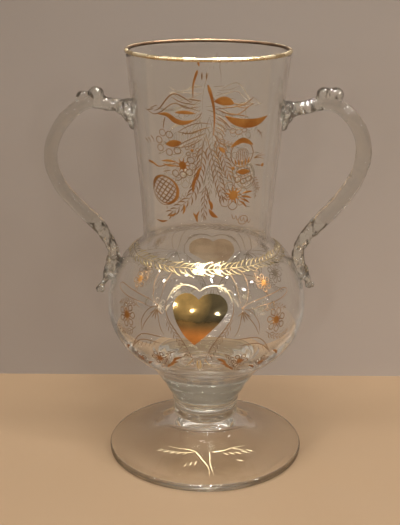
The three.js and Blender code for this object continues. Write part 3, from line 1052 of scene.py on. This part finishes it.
def bunch_fronds(pen):
    """The hanging fronds, from the left."""
    longest = [(-1.1, 68.3), (-2.9, 61.2), (-3.6, 51), (-6.2, 40), (-9.9, 31.4), (-16, 26), (-23.1, 20.3)]
    sprig(pen, longest, 7, 3.4, 26, 1, 0.6, 0.3)
    pen.leaf((-3.2, 50.6), (-6, 42.4), 1.7, -0.08)
    pen.leaf((-5.2, 46), (-8.2, 34.8), 2, -0.08)
    sprig(pen, [(-1.1, 68.3), (0.8, 61.3), (3.4, 51.1), (6, 41), (8.6, 31)], 7, 3.2, 26, 0.9, 0.6, 0.3)
    sprig(pen, [(3.3, 68.3), (6.2, 61), (9, 52), (12.4, 43.6)], 6.4, 3, 30, 1, 0.6, 0.3)
    sprig(pen, [(3.3, 68.3), (7, 64.4), (12, 62.6)], 3.4, 2.2, 36, 0.8, 0.6)
    pen.leaf((5.2, 61.4), (9, 58.2), 2)
    sprig(pen, [(-0.9, 40), (-1.9, 30.2), (-2, 20)], 4.6, 3.4, 24, 0.8, 0.6, 0.3)
    pen.stroke([(-0.9, 38.1), (1.1, 30.3), (1.7, 25)], 0.8)
    tips = (((-24.6, 16.4), (-33.4, 15.4)), ((-18.3, 21.8), (-24, 19.4)), ((-13.1, 27.6), (-14.4, 21.6)))
    for base, tip in tips:
        pen.leaf(base, tip, 1.3, 0.08)


def bunch_foot(pen):
    """The daisy on the right, and the leaves at the foot of the bunch."""
    middle = (14.4, 33)
    daisy(pen, middle, 7, 8, 5.6, 14, 11, 2.6)
    for degrees in (-42, -28, -14, 4):
        pen.leaf(polar(middle, 5, degrees), polar(middle, 12.4, degrees), 1.2, 0.06)
    pen.leaf((0.4, 31), (2.4, 24.6), 1.8, 0.1)
    pen.stroke([(0.7, 25.4), (3.3, 21.8), (6, 20.4)], 2.4, leafy)
    pen.leaf((-8.2, 23), (-5.8, 17.4), 1.4, 0.1)
    pen.leaf((-4.6, 24.4), (-6, 18), 1.2, -0.1)
    for i in range(5):
        across, down = 2.6 * i, 0.9 * i
        pen.stroke([(14 + across, 22 - down), (15.4 + across, 18.6 - down), (17 + across, 20.8 - down)], 0.6)
    pen.ring((21.6, 17.6), 3.2, 0.5, 0.8)


def neck_bunch(pen):
    """A hanging bunch of leaves and flowers."""
    bunch_top(pen)
    bunch_left(pen)
    bunch_right(pen)
    bunch_fronds(pen)
    bunch_foot(pen)


# Ornament of the bowl. Across is from the middle, and up from the widest line, along the glass

BOWL_MIDDLE = -4.5
HEART_CORE = Vector((BOWL_MIDDLE, 14, 0))
HEART_CLEFT, HEART_TIP = (-5, 23.6), (-6.9, -2.8)
LEFT_LOBE = (-12, 22)
HEART_RIGHT = [
    (-2, 26), (2.8, 27), (7.8, 26), (11.2, 23.2), (12.4, 19.4), (11.4, 15.6), (7.3, 10.6), (2.4, 5.8),
    (-2.6, 1),
]
HEART_LEFT = [
    (-10.2, 0), (-13.6, 3.8), (-17.4, 9.8), (-19.6, 15), (-20.3, 19.4), (-18.8, 23.8), (-15.2, 26.4),
    (-11, 26.8), (-7.6, 25.6),
]


def only(items, kind):
    return [item for item in items if isinstance(item, kind)]


def gilt_heart():
    """A flat filled heart, in rings that can bend with the glass. Its point lies to the left."""
    bm = bmesh.new()
    right = smoothed([HEART_CLEFT, *HEART_RIGHT, HEART_TIP], 1.3)
    left = smoothed([HEART_TIP, *HEART_LEFT, HEART_CLEFT], 1.3)
    loop = [bm.verts.new((point.x, point.y, 0)) for point in right[:-1] + left[:-1]]
    edges = [bm.edges.new((loop[i - 1], loop[i])) for i in range(len(loop))]
    within = 1
    for share in (0.88, 0.75, 0.62, 0.49, 0.36, 0.22):
        made = bmesh.ops.extrude_edge_only(bm, edges=edges)["geom"]
        edges = only(made, bmesh.types.BMEdge)
        for vertex in only(made, bmesh.types.BMVert):
            vertex.co = HEART_CORE + (vertex.co - HEART_CORE) * share / within
        within = share
    bmesh.ops.edgeloop_fill(bm, edges=edges)
    return bm


def mirrored(side):
    """Places on one side of the heart, counted outwards from its middle."""
    def at(across, up):
        return (BOWL_MIDDLE + side * across, up)

    return at


def bowl_front(pen):
    """The leafy outline round the heart, from its arches above to the crossed stems below."""
    for side in (-1, 1):
        at = mirrored(side)
        arch = [at(0, 28.2), at(3.6, 30.4), at(8.8, 31.5), at(13.4, 30.6), at(17.6, 27.4), at(20, 21.4)]
        # The arches are in the gilding with a painted highlight
        pen.tone = PAINTED_HIGHLIGHT
        pen.stroke(arch, 0.9)
        sprig(pen, arch[2:5], 3.6, 2.3, 30, 0.8, 0.5, 0.3)
        pen.tone = DEEP
        pen.stroke([at(20.4, 22), at(20, 16), at(17.2, 10), at(9.6, 0), at(5, -9), at(2.6, -19)], 0.7)
        sprig(pen, [at(19.6, 12), at(14.8, 4), at(9.4, -4), at(6.4, -11)], 3.6, 2.6, 34, 0.65, 0.45, 0.3)
        # The crossed stems below are in the gilding with a painted highlight
        pen.tone = PAINTED_HIGHLIGHT
        pen.stroke([at(3, -12), at(5.6, -16), at(8.6, -19.6)], 1.0, leafy)
        pen.stroke([at(0.6, -12.4), at(1, -17), at(0.4, -22)], 1.1, leafy)
        pen.tone = DEEP


def ribbon_bow(pen, at):
    """Two narrow loops of ribbon, tied at a knot, with their ends and a tuft of leaves."""
    knot = at(25.6, 17.6)
    lying = [
        (31, 20), (39, 21.3), (51, 22.6), (60, 23.2), (62.8, 20.8), (57, 18.6), (49, 17.6), (38, 17.2),
        (30.6, 16.2),
    ]
    standing = [
        (29.4, 21.6), (31.8, 29.8), (31.2, 36.8), (26.8, 41.2), (21.4, 39.8), (22.6, 35), (24, 30.6),
        (24.4, 23.6),
    ]
    for ribbon in (lying, standing):
        pen.stroke([knot, *[at(*point) for point in ribbon], knot], 0.6)
    for ribbon in (
        [(28.6, 13), (33, 6.6), (35.4, 1)],
        [(31.6, 14.6), (35.6, 7.6), (35.4, 1)],
        [(24.6, 12), (22.4, 5), (20, 1.4)],
    ):
        pen.stroke([knot, *[at(*point) for point in ribbon]], 0.6)
    pen.dot(knot, 0.5)
    for across, up in ((24, 10.6), (26.4, 9.4), (28.6, 10.2), (22.2, 13), (30.6, 12)):
        pen.leaf(at(25.8, 15.6), at(across, up), 0.9)


def side_ornament(pen, side):
    """The ribbon, the sprays and the flowers beside the heart, from its outline to under a handle."""
    at = mirrored(side)
    ribbon_bow(pen, at)
    # flower over the lying loop, with its stem of two lines
    daisy(pen, at(44.4, 29.6), 6, 5, 3.2, 20, 10, 1.6, 0.75)
    pen.stroke([at(43.4, 25.8), at(43.8, 21.8)], 0.5)
    pen.stroke([at(45, 25.8), at(44.8, 21.8)], 0.5)
    sprig(pen, [at(38.6, 28), at(39.6, 34), at(44, 38.6)], 3, 2.2, 40, 0.6, 0.45)
    # flower under it, and the leaves that hang from the outline
    daisy(pen, at(48.4, 7), 7, 6.6, 3.8, 10, 12, 2, 0.8)
    sprig(pen, [at(38, 14), at(44, 15.4), at(52, 14.6), at(57, 12)], 3.4, 2.4, 36, 0.7, 0.5)
    sprig(pen, [at(40, 2), at(46, -2.4), at(52.6, -4), at(58, -2)], 4, 2.4, 36, 0.8, 0.5)
    for start, bend in (((20, 0), 0.2), ((22, -4), 0.16)):
        pen.stroke(bowed(at(*start), at(46, -13), bend * side), 0.7)
    for i in range(6):
        pen.stroke([at(25.6 + 3.2 * i, -3.4 - 0.9 * i), at(27.6 + 3.2 * i, -7.6 - 0.7 * i)], 0.6, trailing)
    # flowers and leaves towards the foot of the bowl
    daisy(pen, at(25, -15.4), 6, 5, 3, 0, 9, 1.8, 0.8)
    daisy(pen, at(42, -21), 6, 5.4, 3.2, 30, 9, 1.8, 0.8)
    for across, up in ((12, -15), (14.4, -18.8), (17.6, -22), (34, -24.4), (50, -16)):
        pen.leaf(at(across - 1.6, up + 3), at(across + 4.6, up - 2), 1.7, 0.12 * side)
    sprig(pen, [at(14, -8), at(19, -12), at(20, -19), at(27, -25)], 3.4, 2.4, 38, 0.8, 0.5)


GARLAND_LEAVES = 84
GARLAND_UP = 41.6


def garland(pen):
    """A ring of laurel round the shoulder: one stem, with leaves that all lean the same way."""
    pen.tone = LAUREL
    length = 2 * math.pi * BELLY_RADIUS
    step = length / GARLAND_LEAVES
    points = []
    for i in range(GARLAND_LEAVES // 2):
        points.append((-length / 2 + step * 2 * i, GARLAND_UP + 0.35 * math.sin(i * 1.7)))
    pen.stroke([*points, (length / 2, points[0][1])], 0.55, even)
    for i in range(GARLAND_LEAVES):
        base = (-length / 2 + step * i, GARLAND_UP)
        for side in (-1, 1):
            reach = pen.hand.uniform(7.4, 9.6)
            angle = side * pen.hand.uniform(24, 34)
            pen.stroke(bowed(base, polar(base, reach, angle), 0.1 * side), 0.95, leafy)


def foot_ornament(pen):
    """Fine sprigs on the foot. Up is along the glass from its edge."""
    # All the foot's sprigs are in the gilding with a painted highlight
    pen.tone = PAINTED_HIGHLIGHT
    pen.stroke([(3.6, 27), (3.2, 18), (4.6, 8.4)], 1.0, trailing)
    pen.stroke([(-8, 27), (-3.6, 23), (1.6, 15.6), (2.2, 8)], 0.9, trailing)
    for twig in (
        [(-8, 27), (-16, 27.8), (-33, 26.2)],
        [(-9, 26.6), (-20, 24.6), (-38, 22)],
        [(6, 27), (16, 27.2), (24, 27.8), (37, 26)],
        [(24, 27.4), (30, 24.6), (34, 20)],
    ):
        pen.stroke(twig, 0.7, trailing)
    for i in range(5):
        pen.leaf((-14 - 5 * i, 25.4 - 0.7 * i), (-18 - 5 * i, 23.2 - 0.8 * i), 0.7)
        pen.leaf((14 + 5 * i, 25.8 - 0.6 * i), (18 + 5 * i, 23.4 - 0.9 * i), 0.7)
    pen.stroke([(21.5, 18.5), (25.5, 16)], 0.6)
    for i in range(3):
        pen.leaf((-6 - 3 * i, 20 - i), (-7 - 3 * i, 16 - i), 0.6)


# Surfaces that a drawing is laid on

def lying_on(outline, level, reference, turn):
    """Lays points of a flat sheet on a turned outline.

    Up is measured along the glass from the level, and across is true at the reference radius.
    """
    lengths = measured(outline)
    start = lengths[min(range(len(outline)), key=lambda i: abs(outline[i].y - level))]

    def place(across, up, proud):
        wanted = start + up
        k = span_at(lengths, wanted)
        one, other = outline[k - 1], outline[k]
        spot = one.lerp(other, (wanted - lengths[k - 1]) / (lengths[k] - lengths[k - 1]))
        along = (other - one).normalized()
        out = spot + Vector((along.y, -along.x)) * proud
        angle = across / reference + turn
        return Vector((out.x * math.sin(angle), -out.x * math.cos(angle), out.y)) * MM

    return place


def laid(name, pen, surface):
    """Makes the strokes of a sheet a thin piece on the glass, which they face with their under side."""
    bm = opened(as_object("sheet", pen.sheet))
    bmesh.ops.remove_doubles(bm, verts=bm.verts, dist=1e-5)
    for face in bm.faces:
        if all(vertex.co.z < 1e-4 for vertex in face.verts):
            face.material_index = UNDER
        face.smooth = False
    for vertex in bm.verts:
        across, up, proud = vertex.co
        vertex.co = surface(across, up, GILT_SEAT + min(proud * GILT_SWELL, GILT_FILM))
    return as_piece(name, bm, GILDINGS)


def heart_piece(name, surface, gilt):
    """The filled heart as a thin closed plate on the glass, smooth on its face and crisp at its edge."""
    bm = gilt_heart()
    bmesh.ops.recalc_face_normals(bm, faces=bm.faces)
    if sum(face.normal.z for face in bm.faces) < 0:
        bmesh.ops.reverse_faces(bm, faces=bm.faces)
    upper = bmesh.ops.duplicate(bm, geom=bm.verts[:] + bm.edges[:] + bm.faces[:])
    raised = set(only(upper["geom"], bmesh.types.BMVert))
    lower = [face for face in bm.faces if face.verts[0] not in raised]
    for vertex in raised:
        vertex.co.z = 1
    bmesh.ops.reverse_faces(bm, faces=lower)
    bmesh.ops.bridge_loops(bm, edges=[edge for edge in bm.edges if edge.is_boundary])
    bmesh.ops.recalc_face_normals(bm, faces=bm.faces)
    for face in bm.faces:
        face.material_index = 1 if all(vertex.co.z < 0.5 for vertex in face.verts) else 0
        face.smooth = all(vertex.co.z > 0.5 for vertex in face.verts)
    for edge in bm.edges:
        edge.smooth = all(face.smooth for face in edge.link_faces)
    for vertex in bm.verts:
        across, up, proud = vertex.co
        vertex.co = surface(across, up, GILT_SEAT + proud * GILT_FILM)
    return as_piece(name, bm, [gilt, HEART_UNDER])


def lip_swell(point):
    """The lip's film is a low bead on the outside, and thin within."""
    if point.x < LIP_RADIUS - NECK_WALL / 2:
        return RIM_FILM
    return RIM_FILM + RIM_BEAD * math.sin(math.pi * share_of(point.y, LIP_Z - GILT_BAND, LIP_Z))


def lip_film():
    """The gilt film over the lip: down its outside, and a little way down its inside."""
    path = [point for point in OUTSIDE if point.y > LIP_Z - 3 * GILT_BAND] + LIP_TURN[1:]
    band = []
    for one, other in zip(path, path[1:]):
        band += [one.lerp(other, i / 4) for i in range(4)]
    inner_low = Vector((LIP_TURN[-1].x - GILT_LEAN, LIP_Z - NECK_WALL / 2 - GILT_INSIDE))
    band = [point for point in band if point.y >= LIP_Z - GILT_BAND] + [LIP_TURN[-1], inner_low]
    near = moved_out(band, lambda point: GILT_SEAT)
    far = moved_out(band, lip_swell)
    piece = turned("lip_gilding_film", near + far[::-1], [GILT_RIM, GILT_RIM_INWARD_SHADED], closed=True)
    # Inward faces get the near-black copy, painted shade on the gilt inside the lip
    for face in piece.data.polygons:
        outwards = Vector((face.center.x, face.center.y, 0)).normalized()
        if face.normal.dot(outwards) < -0.2:
            face.material_index = 1
    return piece


# The pieces and what each stands for

def belongs(piece, slot, *nodes):
    """Puts a piece on the vase's one body, in place of the nodes it stands for."""
    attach(piece, "root")
    if nodes:
        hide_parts(*nodes)


belongs(foot(), "clear_glass", "foot")
belongs(collar(), "clear_glass", "collar")
belongs(stem(), "clear_glass", "stem")
belongs(risen(vessel()), "clear_glass", "vessel")
left_handle = handle("left_handle_glass", -1, LEFT_TRAIL, LEFT_THICKNESS, LEFT_LUMPS, 3.0)
right_handle = handle("right_handle_glass", 1, RIGHT_TRAIL, RIGHT_THICKNESS, RIGHT_LUMPS, 8.0)
belongs(left_handle, "clear_glass", "left_handle")
belongs(right_handle, "clear_glass", "right_handle")
belongs(risen(lip_film()), "gilding", "rim_gilding")

# How fine the thin strokes are, the radii at which a sheet is true, and the heart's tones, its gloss, and how
# much rougher it is in worn patches
FINENESS = 0.72
NECK_SHEET_RADIUS, FOOT_SHEET_RADIUS = 40, 45
HEART_GOLD = (0.62, 0.45, 0.22), (0.92, 0.67, 0.33), 0.07, 0.1, 0.06


def ornament(place, turn, seed, lower, boldness):
    """The gilding of one face of the vase. The neck's bunch may hang lower, its bold strokes thinner."""
    neck_pen = Pen(seed, FINENESS, boldness)
    neck_bunch(neck_pen)
    neck = lying_on(OUTSIDE, NECK_Z - lower, NECK_SHEET_RADIUS, turn)
    belongs(risen(laid("neck_bunch_" + place, neck_pen, neck)), "gilding")
    bowl = lying_on(OUTSIDE, BELLY_Z, BELLY_RADIUS, turn)
    bowl_pen = Pen(seed + 10, FINENESS)
    bowl_front(bowl_pen)
    for side in (-1, 1):
        side_ornament(bowl_pen, side)
    belongs(laid("bowl_ornament_" + place, bowl_pen, bowl), "gilding")
    # The heart's gold gets painted reflections: a painted highlight on its left lobe, painted shade in its
    # middle, and a painted reflection of the floor at its tip
    heart_reflection = heart_painted_reflection(bowl(*LEFT_LOBE, 0), bowl(*HEART_TIP, 0))
    gilt = gilding("heart_gilding_" + place, *HEART_GOLD, heart_reflection)
    belongs(heart_piece("bowl_heart_" + place, bowl, gilt), "gilding")
    foot_pen = Pen(seed + 20)
    foot_ornament(foot_pen)
    foot_sheet = lying_on(FOOT_TOP, FOOT_EDGE, FOOT_SHEET_RADIUS, turn)
    belongs(laid("foot_sprigs_" + place, foot_pen, foot_sheet), "gilding")


ornament("front", turn=0, seed=5, lower=0, boldness=1)
ornament("back", turn=math.pi, seed=6, lower=6, boldness=0.35)
garland_pen = Pen(30)
garland(garland_pen)
belongs(laid("shoulder_garland", garland_pen, lying_on(OUTSIDE, BELLY_Z, BELLY_RADIUS, 0)), "gilding")
bpy.data.objects.remove(NIB)


# Floor and wall

ROOM_HALF = 3
WALL_Y = 0.105
PAINT_ROUGHNESS = 0.6
PAINT_GLOSS = 0.25
FLOOR_COLOUR = (0.52, 0.36, 0.22, 1)
# A painted pool of light on the wall: its colour is lightest here, and painted darker away from there
WALL_LIT = Vector((0.1, WALL_Y, -0.05))
WALL_PAINTED_LIGHT, WALL_PAINTED_SHADE = (0.51, 0.453, 0.415), (0.215, 0.19, 0.172)


def painted(tree, colour):
    return add_node(
        tree, "BsdfPrincipled", Base_Color=colour, Roughness=PAINT_ROUGHNESS, Specular_IOR_Level=PAINT_GLOSS
    )


def floor_paint():
    tree, covered_with = new_material("pale_floor")
    return covered_with(painted(tree, FLOOR_COLOUR))


def wall_paint():
    """Pale paint with a painted pool of light round the vase, painted darker far from it. It is clear from
    behind, for views from there.
    """
    tree, covered_with = new_material("pale_wall")
    away = away_from(tree, object_place(tree), WALL_LIT, 1)
    front = painted(tree, ramp(tree, away, (0.1, WALL_PAINTED_LIGHT), (0.6, WALL_PAINTED_SHADE)))
    behind = add_node(tree, "NewGeometry").outputs["Backfacing"]
    return covered_with(add_node(tree, "MixShader", behind, front, add_node(tree, "BsdfTransparent")))


def sheet_of(name, matrix, material):
    """A square sheet of the room, which isn't part of the vase."""
    bm = bmesh.new()
    bmesh.ops.create_grid(bm, x_segments=1, y_segments=1, size=ROOM_HALF, matrix=matrix)
    piece = as_piece(name, bm, [material])


wall_place = Matrix.Translation((0, WALL_Y, ROOM_HALF)) @ Matrix.Rotation(math.pi / 2, 4, "X")
sheet_of("floor", Matrix.Identity(4), floor_paint())
sheet_of("wall", wall_place, wall_paint())


# Lamps

def lamp(name, place, aim, size, power, colour=(1, 0.96, 0.9), glint_only=False):
    """A round lamp. One for glints alone shows in glass and gold, and adds no light to floor or wall."""
    light = bpy.data.lights.new(name, "AREA")
    light.shape = "DISK"
    light.size = size
    light.energy = power
    light.color = colour
    holder = as_object(name, light)
    holder.location = place
    holder.rotation_euler = (Vector(aim) - Vector(place)).to_track_quat("-Z", "Y").to_euler()
    holder.visible_diffuse = not glint_only


lamp("overhead_left", (-0.25, -0.44, 2.1), (0, 0, 0.1), 0.42, 9)
lamp("overhead_right", (0.37, -0.42, 2.1), (0, 0, 0.1), 0.28, 6)
lamp("side_right", (1.5, -1.1, 1.5), (0, 0, 0.12), 0.16, 8, (1, 0.97, 0.93))

# The size and power of a small lamp, of a high glint and of a close one
SMALL, HIGH, CLOSE = (0.045, 1.5), (0.08, 9), (0.022, 0.9)
# The small lamps of the room, by their bearing from the camera's side and their rise, in degrees
LAMP_RING = 2.2
SMALL_LAMPS = [
    (-60, 13), (-15, 15), (7, 54), (30, 22), (49, 29), (49, 51), (-54, 55), (95, 53),
    (-95, 50), (20, 70), (-30, 66), (12, 12), (-38, 20), (75, 14), (-80, 30),
]
LOW_GLINTS = [(-44, 38), (20, 44), (38, 36), (58, 18), (-66, 24), (10, 62)]
HIGH_GLINTS = [
    (-48, 66), (-16, 76), (14, 70), (46, 64), (-95, 50), (95, 53), (-20, 88), (60, 86),
    (-70, 46), (72, 44), (9, 66),
]
# Close overhead, each where the slope of the foot's front would mirror it to the camera
FOOT_GLINTS = [(-0.027, 0.058, 0.6), (0.099, 0.069, 0.594), (0.018, 0.095, 0.437)]
FOOT_AIM = (0, -0.033, 0.01)


def round_the_room(name, lamps, kind, glint_only):
    """Lamps of one size and power, all as far from the vase's axis and aimed at the vase."""
    for i, (bearing, rise) in enumerate(lamps):
        way = Matrix.Rotation(math.radians(bearing), 3, "Z") @ Matrix.Rotation(math.radians(-rise), 3, "X")
        place = way @ Vector((0, -LAMP_RING, 0))
        lamp(f"{name}_{i}", place, (0, 0, 0.15), *kind, glint_only=glint_only)


round_the_room("small_lamp", SMALL_LAMPS, SMALL, False)
round_the_room("low_glint", LOW_GLINTS, SMALL, True)
round_the_room("high_glint", HIGH_GLINTS, HIGH, True)
for i, spot in enumerate(FOOT_GLINTS):
    lamp(f"foot_glint_{i}", spot, FOOT_AIM, *CLOSE, glint_only=True)


# The room's own light, from its dark parts to its light ones
ROOM_DARK, ROOM_LIGHT = (0.12, 0.105, 0.09), (0.52, 0.46, 0.39)
FRONT_SHARE, LEFT_SHARE, UP_SHARE = 0.38, 0.3, 0.9


def room():
    """A plain room: light overhead, half light before and behind the vase, and darkest on the right."""
    world = bpy.data.worlds.new("room")
    bpy.context.scene.world = world
    world.use_nodes = True
    tree = world.node_tree
    way = add_node(tree, "SeparateXYZ", add_node(tree, "TexCoord").outputs["Generated"]).outputs
    facing = add_node(tree, "Math", way["Y"], way["Y"], operation="MULTIPLY")
    upwards = add_node(tree, "Math", way["Z"], UP_SHARE, operation="MULTIPLY")
    leftwards = add_node(tree, "Math", way["X"], -LEFT_SHARE, upwards, operation="MULTIPLY_ADD")
    together = add_node(tree, "Math", facing, FRONT_SHARE, leftwards, operation="MULTIPLY_ADD")
    light = ramp(tree, together, (0.12, ROOM_DARK), (0.95, ROOM_LIGHT))
    feed(tree, tree.nodes["Background"].inputs["Color"], light)


room()


# Camera, fitted to the photograph's rim and foot

PHOTO_WIDE, PHOTO_HIGH = 400, 525
FOCAL_PIXELS = 1077.1
SENSOR = 36
VIEWPOINT = (-0.00401, -0.6164, 0.330)
PITCH_DOWN = 18.63
ROLL = 0.38

camera = bpy.data.cameras.new("camera")
camera.sensor_width = SENSOR
camera.lens = FOCAL_PIXELS * SENSOR / max(PHOTO_WIDE, PHOTO_HIGH)
camera.clip_start = 0.01
tilt = Matrix.Rotation(math.radians(90 - PITCH_DOWN), 3, "X") @ Matrix.Rotation(math.radians(ROLL), 3, "Z")
viewer = as_object("camera", camera)
viewer.location = VIEWPOINT
viewer.rotation_euler = tilt.to_euler()

# How often light passes through and between the glass walls
BOUNCES = 72
scene = bpy.context.scene
scene.camera = viewer
scene.view_settings.view_transform = "Standard"
scene.cycles.caustics_reflective = False
scene.cycles.caustics_refractive = False
scene.cycles.max_bounces = BOUNCES
scene.cycles.transmission_bounces = BOUNCES
scene.cycles.glossy_bounces = BOUNCES
scene.cycles.transparent_max_bounces = 32
scene.cycles.sample_clamp_indirect = 12
